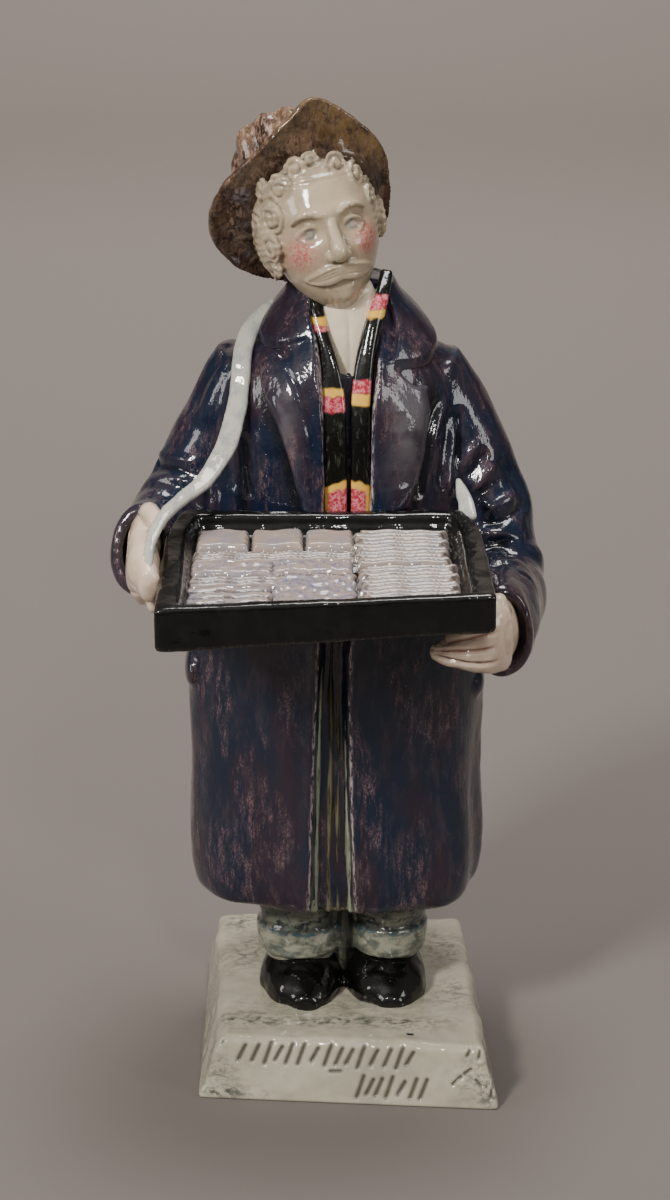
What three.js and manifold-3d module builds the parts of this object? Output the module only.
// A glazed earthenware street seller on a low base, modelled and fired in one piece.
// Millimetres, +Z up, the figure faces -Y. The origin is on the base's underside, below the figure.
import * as THREE from "three";
import { mergeVertices } from "three/addons/utils/BufferGeometryUtils.js";
import Module from "manifold-3d";

const wasm = await Module();
wasm.setup();

// Driving dimensions

const baseHeight = 19;
const baseCorners = {
  // front x, front y, back x, back y
  top: { left: [-38.8, -44.2, -42.2, 44.2], right: [40.9, -50.9, 36.6, 41.2] },
  foot: { left: [-45.6, -47.8, -45.3, 47.4], right: [45.2, -56, 41.1, 44.4] },
};
const baseRounding = 2.4;
const soleHeight = baseHeight - 0.6; // shoes are pressed a little into the base

const hemHeight = 50;
const neckHeight = 244;
const openingDepth = 4.5; // how far the gap between the coat's fronts is sunk
const lapelThickness = 2.6;

const tray = {
  front: { y: -84, left: -54.5, right: 40.8 },
  frontTop: { left: 169.9, right: 174.2 },
  frontThick: { left: 12.6, right: 11.1 },
  back: { y: -28, left: -52.8, right: 37.8, top: 182, thick: 12 },
  cornerCut: 4.5,
  recess: 5.5,
};
const strapWidth = 6.6;
const strapThickness = 2.4;

const head = { centre: [-8, -2.5, 261.8], width: 32, depth: 38, height: 48 };
const headTurn = { pitch: -8, roll: -12, yaw: 12 }; // degrees: chin up, leaning to -X, looking to +X

// Helpers

const turn = Math.PI * 2;
const mix = (a, b, t) => a + (b - a) * t;
const clamp = (t) => Math.min(1, Math.max(0, t));
const bump = (t, middle, width) => Math.exp(-(((t - middle) / width) ** 2));

// Catmull-Rom values through rows of [t, a, b, ...], as a function of t.
const through = (rows) => (t) => {
  let i = 0;
  while (i < rows.length - 2 && t > rows[i + 1][0]) i++;
  const [p, q] = [rows[i], rows[i + 1]];
  const [before, after] = [rows[Math.max(0, i - 1)], rows[Math.min(rows.length - 1, i + 2)]];
  const span = q[0] - p[0];
  const s = clamp((t - p[0]) / span);
  return p.slice(1).map((a, k) => {
    const b = q[k + 1];
    const leave = ((b - before[k + 1]) / (q[0] - before[0])) * span;
    const arrive = ((after[k + 1] - a) / (after[0] - p[0])) * span;
    const [s2, s3] = [s * s, s * s * s];
    return (2 * s3 - 3 * s2 + 1) * a + (s3 - 2 * s2 + s) * leave + (3 * s2 - 2 * s3) * b + (s3 - s2) * arrive;
  });
};

// The same, for rows without t that are evenly spaced from 0 to 1.
const evenly = (rows) => through(rows.map((row, i) => [i / (rows.length - 1), ...row]));

// A closed line through points, as a function of the share u of the way round.
const closed = (points) => {
  const n = points.length;
  const round = [...points.slice(-2), ...points, ...points.slice(0, 3)];
  const line = through(round.map((p, i) => [(i - 2) / n, ...p]));
  return (u) => new THREE.Vector3(...line(u));
};

// A closed skin: place(u, v) is the point at turn u round the form, at share v from its first pole on.
const form = (columns, rows, place) => {
  const geometry = new THREE.SphereGeometry(1, columns, rows);
  const position = geometry.getAttribute("position");
  for (let row = 0; row <= rows; row++)
    for (let column = 0; column <= columns; column++) {
      const p = place((column % columns) / columns, 1 - row / rows);
      position.setXYZ(row * (columns + 1) + column, p.x, p.y, p.z);
    }
  return geometry;
};

// A block bent to place(s, t, k), each from 0 to 1: s across, t along, k from inner face to outer one.
const slab = (columns, rows, place, layers = 1) => {
  const geometry = new THREE.BoxGeometry(1, 1, 1, columns, rows, layers);
  const position = geometry.getAttribute("position");
  for (let i = 0; i < position.count; i++) {
    const p = place(position.getX(i) + 0.5, position.getY(i) + 0.5, position.getZ(i) + 0.5);
    position.setXYZ(i, p.x, p.y, p.z);
  }
  return geometry;
};

// A round-ended limb through stations [x, y, z, half across, half deep]. Its width lies along `across`,
// `cap` is how far its ends bulge, and swell(u, t) grows or shrinks its section.
const limb = (columns, rows, stations, { across = [1, 0, 0], cap = 3, square = 2, swell = () => 0 } = {}) => {
  const at = evenly(stations);
  const ends = 1.6 / rows; // share of the rows that rounds each end
  const side = new THREE.Vector3(...across);
  return form(columns, rows, (u, v) => {
    const t = clamp((v - ends) / (1 - 2 * ends));
    const [x, y, z, wide, deep] = at(t);
    const [a, b] = [at(Math.max(0, t - 0.02)), at(Math.min(1, t + 0.02))];
    const along = new THREE.Vector3(b[0] - a[0], b[1] - a[1], b[2] - a[2]).normalize();
    const n = side.clone().addScaledVector(along, -side.dot(along)).normalize();
    const m = along.clone().cross(n);
    const past = v < ends ? 1 - v / ends : v > 1 - ends ? (v - 1 + ends) / ends : 0;
    const shrink = Math.sqrt(Math.max(0, 1 - past * past));
    const [c, s] = [Math.cos(u * turn), Math.sin(u * turn)];
    const round = (Math.abs(c) ** square + Math.abs(s) ** square) ** (-1 / square);
    const grow = (1 + swell(u, t)) * shrink * round;
    return new THREE.Vector3(x, y, z)
      .addScaledVector(along, past * cap * (v < 0.5 ? -1 : 1))
      .addScaledVector(n, c * wide * grow)
      .addScaledVector(m, s * deep * grow);
  });
};

// A ball, egg or pad: half sizes, place and turns in degrees.
const egg = (halves, centre, turns = [0, 0, 0], columns = 12, rows = 8) =>
  posed(new THREE.SphereGeometry(1, columns, rows).scale(...halves), centre, turns);

const posed = (geometry, centre, turns) => {
  const angles = turns.map(THREE.MathUtils.degToRad);
  const rotation = new THREE.Quaternion().setFromEuler(new THREE.Euler(...angles, "ZYX"));
  const one = new THREE.Vector3(1, 1, 1);
  return geometry.applyMatrix4(new THREE.Matrix4().compose(new THREE.Vector3(...centre), rotation, one));
};

const solid = (geometry) => {
  const bare = geometry.clone();
  bare.deleteAttribute("normal");
  bare.deleteAttribute("uv");
  const merged = mergeVertices(bare, 1e-4);
  const mesh = new wasm.Mesh({
    numProp: 3,
    vertProperties: merged.getAttribute("position").array,
    triVerts: new Uint32Array(merged.index.array),
  });
  return new wasm.Manifold(mesh);
};

const joined = (geometries) => geometries.map(solid).reduce((all, next) => all.add(next));

const geometryOf = (manifold) => {
  const mesh = manifold.getMesh();
  const geometry = new THREE.BufferGeometry();
  geometry.setAttribute("position", new THREE.BufferAttribute(mesh.vertProperties, 3));
  geometry.setIndex(new THREE.BufferAttribute(mesh.triVerts, 1));
  geometry.computeVertexNormals();
  return geometry;
};

// Base: a hand-cut slab, not quite square, spreading to its foot

const makeBase = () =>
  slab(7, 7, (s, t, k) => {
    const corner = (side, i) => mix(baseCorners.foot[side][i], baseCorners.top[side][i], k);
    const front = mix(corner("left", 1), corner("right", 1), s);
    const back = mix(corner("left", 3), corner("right", 3), s);
    const left = mix(corner("left", 0), corner("left", 2), t);
    const right = mix(corner("right", 0), corner("right", 2), t);
    const edges = [s, 1 - s, t, 1 - t].reduce((sum, d) => sum + bump(d, 0, 0.06), 0);
    const worn = baseRounding * Math.min(edges, 1.3) * k;
    return new THREE.Vector3(mix(left, right, s), mix(front, back, t), k * baseHeight - worn);
  });

// Shoes and turned-up trousers

const legs = [
  { shoe: -14.9, toe: -13.2, x: -14.9, half: 13.4 },
  { shoe: 11.7, toe: 13.5, x: 12.6, half: 11.8 },
];

const makeShoe = ({ shoe, toe }) =>
  limb(12, 9, [
    [shoe, 16, soleHeight + 1, 8.5, 12],
    [shoe, 5, soleHeight + 1, 10.4, 13.6],
    [shoe, -5, soleHeight + 1, 11.7, 13],
    [mix(shoe, toe, 0.4), -13, soleHeight + 1, 10, 10.4],
    [mix(shoe, toe, 0.8), -19, soleHeight + 1, 7.4, 8],
    [toe, -23.5, soleHeight + 1, 4.6, 5.2],
  ], { cap: 3.4, square: 2.2 });

const makeLeg = ({ x, half }) =>
  limb(12, 4, [[x, 0, 29, half - 0.8, 13.4], [x * 0.97, 2, 62, half - 0.4, 13.8]], { cap: 0.5 });

const makeTurnUp = ({ x, half }) =>
  limb(14, 5, [
    [x, -0.4, 29.4, half - 0.5, 14],
    [x, -0.4, 34, half + 0.1, 14.8],
    [x, -0.2, 38.8, half, 14.6],
  ], { cap: 0.6 });

// Coat

// The coat's section, as rows of [height, middle x, half width, half depth, middle y].
const coatSection = through([
  [hemHeight, -4.2, 43.4, 28.6, 5],
  [62, -4.2, 45.2, 30, 5],
  [95, -4.2, 44.7, 30.2, 5],
  [125, -4.2, 45.4, 31, 5],
  [150, -4.2, 43.5, 31.5, 4.5],
  [175, -4.2, 41, 31, 4],
  [195, -4, 39, 30, 4],
  [210, -3.6, 36, 28, 4],
  [221, -2.8, 31, 25, 4],
  [230, -1.8, 23, 21, 4],
  [238, -1.8, 15.8, 16.5, 3],
  [neckHeight, -1.6, 12.8, 14, 2],
]);

const skirtFold = (u, z) => {
  const low = clamp((140 - z) / 70);
  return low * (0.7 * Math.sin(u * turn * 7 + 0.8) + 0.5 * Math.sin(u * turn * 11 + 2));
};

const coatPoint = (u, z, inset = 0) => {
  const [x, wide, deep, y] = coatSection(z);
  const [c, s] = [Math.cos(u * turn), Math.sin(u * turn)];
  const power = mix(2.5, 2.1, clamp((z - 60) / 150));
  const round = (Math.abs(c) ** power + Math.abs(s) ** power) ** (-1 / power);
  const out = round * (1 - inset) + (skirtFold(u, z) * (1 - inset)) / 40;
  return new THREE.Vector3(x + c * wide * out, y + s * deep * out, z);
};

const makeCoat = () => {
  const rows = 20;
  const hollow = 4; // the hem curls under to a shallow hollow
  return form(28, rows, (u, v) => {
    const row = Math.round(v * rows);
    if (row === 0) return coatPoint(0, hemHeight + hollow, 1);
    if (row === 1) return coatPoint(u, hemHeight + hollow, 0.12);
    if (row === 2) return coatPoint(u, hemHeight + 0.6, 0.05);
    if (row === rows) return coatPoint(0, neckHeight, 1);
    const t = (row - 3) / (rows - 4);
    return coatPoint(u, mix(hemHeight + 3, neckHeight, t));
  });
};

// A point just off the coat's surface, and the direction away from it.
const offCoat = (u, z, gap) => {
  const p = coatPoint(u, z);
  const around = coatPoint(u + 0.01, z).sub(coatPoint(u - 0.01, z));
  const up = coatPoint(u, z + 1.5).sub(coatPoint(u, z - 1.5));
  const outward = around.cross(up).normalize();
  return { point: p.addScaledVector(outward, gap), outward };
};

// The coat's front face at x and z, as a y.
const chest = (x, z) => {
  const [middle, wide, deep, y] = coatSection(z);
  const power = mix(2.5, 2.1, clamp((z - 60) / 150));
  const share = Math.min(0.999, Math.abs((x - middle) / wide));
  return y - deep * (1 - share ** power) ** (1 / power);
};

// The gap between the coat's two fronts, from the hem to the neck, as rows of [height, left x, right x].
const openingEdges = through([
  [hemHeight - 4, -11.9, 2],
  [90, -10.6, 0.4],
  [136, -8.8, 0.2],
  [160, -7.6, 4],
  [186, -7, 6.9],
  [215, -7.6, 7.6],
  [neckHeight + 4, -12, 11],
]);

const makeOpening = () =>
  slab(2, 12, (s, t, k) => {
    const z = mix(hemHeight - 4, neckHeight + 4, t);
    const [left, right] = openingEdges(z);
    const x = mix(left, right, s);
    return new THREE.Vector3(x, mix(chest((left + right) / 2, z) + openingDepth, -60, k), z);
  });

// Pockets stand out a little at the coat's sides.
const makePockets = () => [
  egg([2.6, 9, 6], [-47.4, -2, 124], [0, 0, 0], 8, 6),
  egg([2.2, 7, 4], [39.6, -2, 119], [0, 0, 0], 8, 6),
];

// Narrow folds of lining that show in the gap below the tray.
const makeLining = () =>
  [-7.6, -2.6].map((x, i) =>
    limb(6, 7, [
      [x - 1, -20.5, hemHeight + 1, 1.6, 2.2],
      [x, -21.5, 90, 1.3, 2],
      [x + 0.8 + i, -22.5, 150, 1.2, 2],
    ]),
  );

// Lapels and collar

// A lapel, rolled between the opening and its outer edge, and running up under the collar on its inner
// side. Rows are [height, outer x].
const lapels = [
  {
    side: -1, top: 223, rise: 8,
    outer: through([[184, -14.6], [194, -16.7], [205, -20.6], [215, -25.6], [231, -27.4]]),
  },
  {
    side: 1, top: 216, rise: 9,
    outer: through([[184, 19], [196, 22.3], [208, 23.8], [216, 22.6], [225, 21]]),
  },
];

const makeLapel = ({ side, top, rise, outer }) =>
  slab(4, 7, (share, t, k) => {
    const s = side < 0 ? 1 - share : share;
    const z = mix(184, top + rise * clamp(1.3 - 1.6 * s), t);
    const [left, right] = openingEdges(z);
    const x = mix(side < 0 ? left : right, outer(z)[0], s);
    const roll = Math.sin(Math.PI * clamp(s * 1.1)) * 1.4; // the fold swells between its edges
    return new THREE.Vector3(x, mix(chest(x, z) + 3, chest(x, z) - lapelThickness - roll, k), z);
  });

// The collar lies on the coat from one notch round the back of the neck to the other. Rows are
// [turn round the coat and height of the fold, the same of the outer edge].
const collarLine = evenly([
  [0.646, 240, 0.703, 229], [0.6, 242.5, 0.64, 225.8], [0.55, 243.5, 0.575, 226], [0.45, 243.5, 0.46, 229.5],
  [0.35, 243.5, 0.35, 232], [0.25, 243.5, 0.25, 233], [0.15, 243.5, 0.15, 231.5], [0.06, 243.5, 0.04, 228],
  [0, 243.5, -0.06, 223], [-0.05, 243, -0.12, 220.5], [-0.09, 241.5, -0.178, 221],
]);

const makeCollar = () =>
  slab(14, 3, (s, t, k) => {
    const [foldTurn, fold, edgeTurn, edge] = collarLine(s);
    const stand = (2.2 + 0.9 * Math.sin(Math.PI * t * 0.8)) * k - 3 * (1 - k);
    return offCoat(mix(foldTurn, edgeTurn, t), mix(fold, edge, t), stand).point;
  });

// Sleeves and hands

const sleeveStations = {
  left: [
    [-28, 5, 217, 12.3, 13],
    [-33.5, 6, 206.5, 12.8, 13.8],
    [-40.5, 6, 192.5, 13, 14.2],
    [-49.5, 2, 174.5, 13.6, 14.5],
    [-56.5, -13, 167.5, 12.8, 13.5],
    [-59.5, -28, 169, 11, 13.2],
    [-59.5, -38, 172.5, 9.6, 13.6],
  ],
  right: [
    [22, 5, 216.2, 12.6, 13.4],
    [28.5, 6, 204, 12.8, 13.8],
    [35.5, 6, 189, 13.3, 14.5],
    [41, 4, 173, 13.8, 15],
    [44.5, -4, 157, 13.8, 15],
    [46, -17, 151.5, 13, 14.5],
    [45.6, -32, 151.6, 11, 15],
    [45, -44, 152.2, 10, 14.6],
    [44, -54, 152.8, 8.4, 13.6],
  ],
};

// Creases gather at the elbow and run half round the sleeve.
const sleeveFolds = (u, t) => {
  const inside = Math.cos((u * turn) / 2) ** 2;
  return 0.05 * bump(t, 0.52, 0.2) * inside * Math.sin(t * 46 + 3 * Math.cos(u * turn));
};

const makeSleeve = (side) => limb(14, 15, sleeveStations[side], { cap: 1, swell: sleeveFolds });

// A hand that holds the tray's end: palm outside it, thumb over its rim, four fingers under it.
const makeLeftHand = () => [
  limb(10, 8, [
    [-59.4, -32, 171.5, 5, 12.6], [-59.6, -46, 171.5, 4.8, 12.8],
    [-58.8, -57, 172.6, 4.8, 8.8], [-56.6, -66, 171, 3.4, 5.4],
  ], { cap: 2 }),
  limb(8, 5, [[-58.5, -36, 183, 3, 3.4], [-57.2, -44, 185.4, 3, 3], [-55, -50, 184.6, 2.6, 2.6]], {
    cap: 2.2,
  }),
  ...[-37, -43, -49, -55].map((y) => {
    const z = mix(162.8, 161, (y + 37) / -18);
    const finger = [[-56, y, z + 1, 3, 3], [-49, y, z, 3, 3], [-42.5, y - 1, z + 0.8, 2.6, 2.6]];
    return limb(6, 4, finger, { across: [0, 1, 0], cap: 2 });
  }),
];

// The other one comes out of its cuff across the tray's corner and holds it up from below.
const makeRightHand = () => [
  limb(8, 5, [[42.6, -48, 153, 6.2, 10.6], [42, -56, 153.6, 6.4, 11.4], [40.8, -62, 154.2, 5.4, 10.4]], {
    cap: 2.6,
  }),
  limb(10, 7, [
    [43.6, -60.6, 154.4, 5.4, 11], [38.6, -64, 154.2, 5.8, 10.6], [33, -65.6, 152.8, 5.4, 8.2],
    [28, -66.4, 151.5, 4.2, 4.8], [24.6, -66.4, 151.4, 2.8, 2.6],
  ], { across: [0, 1, 0], cap: 1.8 }),
  limb(8, 4, [[44, -55, 156, 3.6, 5], [43.2, -59, 161, 3.2, 4], [42.6, -61, 164.6, 2.4, 2.8]], { cap: 2 }),
];

// Tray and the goods in it

// A point over the tray's top: s from its left end to its right, t from front to back, dz above it.
const trayPoint = (s, t, dz = 0) => {
  const { front, back, frontTop } = tray;
  const x = mix(mix(front.left, front.right, s), mix(back.left, back.right, s), t);
  const z = mix(mix(frontTop.left, frontTop.right, s), back.top, t);
  return new THREE.Vector3(x, mix(front.y, back.y, t), z + dz);
};

const makeTray = () => {
  const { back, frontThick } = tray;
  const wall = slab(6, 8, (s, t, k) => {
    const corner = clamp((t - 0.72) / 0.28) ** 1.6;
    const thick = mix(mix(frontThick.left, frontThick.right, s), back.thick, t);
    const p = trayPoint(s, t, (k - 1) * thick);
    p.x -= (s * 2 - 1) * corner * tray.cornerCut;
    return p;
  });
  const recess = slab(3, 4, (s, t, k) =>
    trayPoint(mix(0.077, mix(0.925, 0.9, t), s), mix(0.055, 0.93, t), mix(-tray.recess, 3, k)));
  return solid(wall).subtract(solid(recess));
};

// A bundle or packet lying in the tray, between shares of the tray's length and depth.
const packet = ({ s0, s1, t0, t1, tall }) =>
  slab(2, 2, (s, t, k) => {
    const soften = 1 - 0.5 * (bump(s, 0, 0.1) + bump(s, 1, 0.1));
    const top = -tray.recess + tall * soften + 0.5;
    return trayPoint(mix(s0, s1, s), mix(t0, t1, t), mix(-tray.recess - 1, top, k));
  });

const goods = [
  ...[0.095, 0.265, 0.435].map((s0) => ({ s0, s1: s0 + 0.16, t0: 0.66, t1: 0.88, tall: 2.6 })),
  { s0: 0.62, s1: 0.87, t0: 0.5, t1: 0.88, tall: 2.2 },
  { s0: 0.62, s1: 0.89, t0: 0.1, t1: 0.47, tall: 2.4 },
  { s0: 0.09, s1: 0.595, t0: 0.41, t1: 0.62, tall: 1.4 },
  { s0: 0.085, s1: 0.36, t0: 0.1, t1: 0.38, tall: 1.6 },
  { s0: 0.37, s1: 0.595, t0: 0.1, t1: 0.38, tall: 1.1 },
];

// Strap: from under the collar over the shoulder to the tray's end, and round the back to its other corner

const strapRuns = [
  {
    along: [
      [-21.6, 5, 235.6], [-26.6, 0, 232.2], [-29.7, -4.5, 228.6], [-31.2, -9, 223.6], [-31.9, -13.4, 216.6],
      [-33.1, -18.4, 208.7], [-35.8, -25, 200.3], [-41.5, -34, 192.9], [-48, -41, 189.2], [-53.4, -48, 186.4],
      [-55.8, -55, 182.4], [-56, -60, 177.6], [-55.4, -63, 172.4],
    ],
    facing: [-0.25, -0.9, 0.55],
  },
  {
    along: [[31.9, -15, 190.5], [33, -20, 187.6], [34.2, -25, 184.4], [35, -29.5, 180]],
    facing: [-0.1, -1, 0.3],
  },
];

// Across the back, as rows of [turn round the coat, height].
const backStrap = evenly([[0.47, 241], [0.38, 236], [0.27, 225], [0.16, 212], [0.05, 199], [-0.03, 190]]);

const makeStraps = () => [
  ...strapRuns.map(({ along, facing }) => {
    const half = (i) => (strapWidth / 2) * mix(1, 0.5, clamp((i - 7) / 5)); // it narrows towards the tray
    const stations = along.map((p, i) => [...p, strapThickness / 2, half(i)]);
    return limb(6, 12, stations, { across: facing, cap: 0.5, square: 3 });
  }),
  slab(10, 1, (s, t, k) => {
    const [u, z] = backStrap(s);
    return offCoat(u, z + (t - 0.5) * -strapWidth, k * 3.6 - 2).point;
  }),
];

// Shirt front, scarf and neck

const makeNeck = () => [
  limb(12, 4, [[-3, 3, 222, 12, 12], [-4, 1, 240, 10.5, 11], [-6, -1, 256, 11, 12]]),
  egg([10, 6, 20], [0, -9.6, 230], [-12, 0, 0], 10, 7),
];

const scarfTails = [
  [[-9.6, -5, 245], [-9.2, -12, 238], [-6.4, -17.5, 224], [-3.9, -22.8, 207], [-3.5, -25.4, 184]],
  [[9.6, -5, 246], [8.4, -12, 239], [5.4, -17.5, 225], [2.8, -22.8, 207], [2.6, -25.4, 184]],
];

const makeScarf = () =>
  scarfTails.map((tail) =>
    limb(6, 8, tail.map((p) => [...p, 3.4, 1.9]), { cap: 1, square: 2.6 }));

// Head, in its own frame: origin in its middle, +Z up, the face towards -Y

const skull = (u, v) => {
  const lift = -Math.cos(v * Math.PI); // -1 under the chin, 1 at the crown
  const ring = Math.sin(v * Math.PI);
  const [c, s] = [Math.cos(u * turn), Math.sin(u * turn)];
  const face = Math.max(0, -s) * Math.min(1, ring * 2.5);
  const jaw = clamp(-lift);
  const wide = (head.width / 2) * (1 - 0.2 * jaw ** 1.5);
  const deep = (head.depth / 2) * (1 + 0.02 * face);
  const x = c * ring * wide;
  const z = (lift * head.height) / 2;
  const sockets = (bump(x, -6.4, 3.4) + bump(x, 6.4, 3.4)) * bump(z, 0.6, 3) * 2.2 * face;
  const brow = (bump(x, -6.5, 5.5) + bump(x, 6.5, 5.5)) * bump(z, 5, 2.4) * 1.2 * face;
  const cheeks = (bump(x, -9.5, 4.5) + bump(x, 9.5, 4.5)) * bump(z, -6, 4.5) * 1.1 * face;
  const chin = bump(x, 0, 5.5) * bump(z, -20, 4) * 2.4 * face;
  return new THREE.Vector3(x, s * ring * deep * (1 + 0.08 * jaw * face) - chin + sockets - brow - cheeks, z);
};

const makeFace = () => [
  form(18, 16, skull),
  limb(8, 6, [
    [0, -18.2, 3, 1.8, 1.6], [0, -20, -1.5, 2.2, 2.2],
    [0, -22, -6, 3.4, 3], [0, -20.6, -8.2, 3.4, 1.8],
  ]),
  ...[-1, 1].map((side) =>
    limb(6, 6, [
      [0.4 * side, -21, -10.2, 2.2, 2.2], [4 * side, -20.2, -11.2, 2.4, 2.6],
      [7.4 * side, -17.6, -13.6, 1.8, 2.2], [8.6 * side, -15.6, -16.2, 1, 1.2],
    ], { across: [0, 0, 1], cap: 1 })),
  egg([4.4, 2.2, 1.3], [0, -15.6, -14.8], [0, 0, 0], 8, 4),
  ...[-1, 1].map((side) => egg([3, 2, 2.1], [6.4 * side, -14.9, 0.2], [0, 0, 0], 7, 4)),
  ...[-1, 1].map((side) => egg([1.8, 3.6, 5.6], [16.2 * side, 1.5, -2], [-10, 0, 0], 7, 5)),
];

// Hair: a mass at each side, with curls along the temples and the forehead.
const makeHair = () => [
  egg([5.5, 9, 12], [-14.5, 2, -1.5], [0, 8, 0], 9, 6),
  egg([4.5, 8, 10], [13.2, 2, 3], [0, -6, 0], 8, 6),
  ...[-15.5, -12.5, -8, -3, 3, 8.5, 12.5].map((x, i) => {
    const curl = [x, -15.5 * Math.sqrt(1 - (x / 18.5) ** 2), 15.5 - (x / 6) ** 2 + (i % 2)];
    return egg([3.2, 3, 3.2], curl, [0, 0, 0], 6, 4);
  }),
];

// Hat: worn far back, its brim turned up in front. Each line goes round from the front by -X to the back.

const hatAxis = new THREE.Vector3(-0.48, 0.4, 0.78); // from the band to the crown
const hatThickness = 2.4;
const hatBand = closed([
  [-7.5, -11, 281.5], [-14, -10.5, 281], [-19, -8.5, 276], [-24, -4.5, 268],
  [-26, 0, 260], [-25, 6, 252], [-20.5, 12, 246], [-12, 17, 243.5],
  [-1, 17, 246], [6, 12, 255], [8, 4, 267], [4.5, -5, 277.5],
]);
const hatRim = closed([
  [-8.5, -13, 299.3], [-17, -16, 293.5], [-27, -16, 283], [-36.3, -11, 272.5],
  [-40, -5, 262], [-37, 3, 250.7], [-27.5, 11, 242.2], [-14, 20, 238.5],
  [1, 22, 243], [10, 14, 254.5], [12.2, 5, 269.5], [8.2, -4, 286],
]);
const hatMiddle = new THREE.Vector3(-11.5, 4, 262.5);

// The crown, as rows of [height along the axis, size compared with the band].
const crownRows = [[2.6, 1.05], [9, 1], [16, 0.95], [22, 0.84], [25, 0.52]];

const makeHat = () => {
  const rows = 8 + crownRows.length;
  return form(24, rows, (turned, v) => {
    const u = (1 - turned) % 1;
    const row = Math.round(v * rows);
    if (row === 0) return hatMiddle.clone().addScaledVector(hatAxis, 2);
    if (row === rows) return hatMiddle.clone().addScaledVector(hatAxis, 22.5);
    const [band, rim] = [hatBand(u), hatRim(u)];
    const across = rim.clone().sub(band);
    const along = hatRim((u + 0.02) % 1).sub(hatRim((u + 0.98) % 1));
    const outward = along.cross(across).normalize();
    const brim = (share, lift) => {
      const curl = lift + 1.3 * Math.sin(Math.PI * share);
      return band.clone().addScaledVector(across, share).addScaledVector(outward, curl);
    };
    if (row === 1) return band.lerp(hatMiddle, 0.2);
    if (row === 2) return brim(0, 0);
    if (row === 3) return brim(0.5, 0);
    if (row === 4) return brim(0.96, 0);
    if (row === 5) return brim(1, hatThickness / 2);
    if (row === 6) return brim(0.95, hatThickness);
    if (row === 7) return brim(0.45, hatThickness);
    const [lift, size] = crownRows[row - 8];
    const pinch = size < 0.9 ? 2.5 * bump(u, 0.02, 0.12) + 2.5 * bump(u, 1.02, 0.12) : 0;
    return band.sub(hatMiddle).multiplyScalar(size).add(hatMiddle).addScaledVector(hatAxis, lift - pinch);
  });
};

// The whole figure, joined into one body

const makeFigure = () => {
  const headTurns = [headTurn.pitch, headTurn.roll, headTurn.yaw];
  const coat = solid(makeCoat()).subtract(solid(makeOpening()));
  const headParts = [...makeFace(), ...makeHair()].map((g) => posed(g, head.centre, headTurns));
  const others = joined([
    makeBase(),
    ...legs.flatMap((leg) => [makeShoe(leg), makeLeg(leg), makeTurnUp(leg)]),
    ...makeLining(),
    ...makePockets(),
    ...lapels.map(makeLapel),
    makeCollar(),
    makeSleeve("left"),
    makeSleeve("right"),
    ...makeLeftHand(),
    ...makeRightHand(),
    ...goods.map(packet),
    ...makeStraps(),
    ...makeNeck(),
    ...makeScarf(),
    ...headParts,
    makeHat(),
  ]);
  return geometryOf(coat.add(makeTray()).add(others));
};

const figure = new THREE.Mesh(
  makeFigure(),
  new THREE.MeshStandardMaterial({ color: 0x2a2a3c, roughness: 0.15, metalness: 0 }),
);
figure.name = "street_seller_figure";

const object = new THREE.Group();
object.add(figure);

export default object;
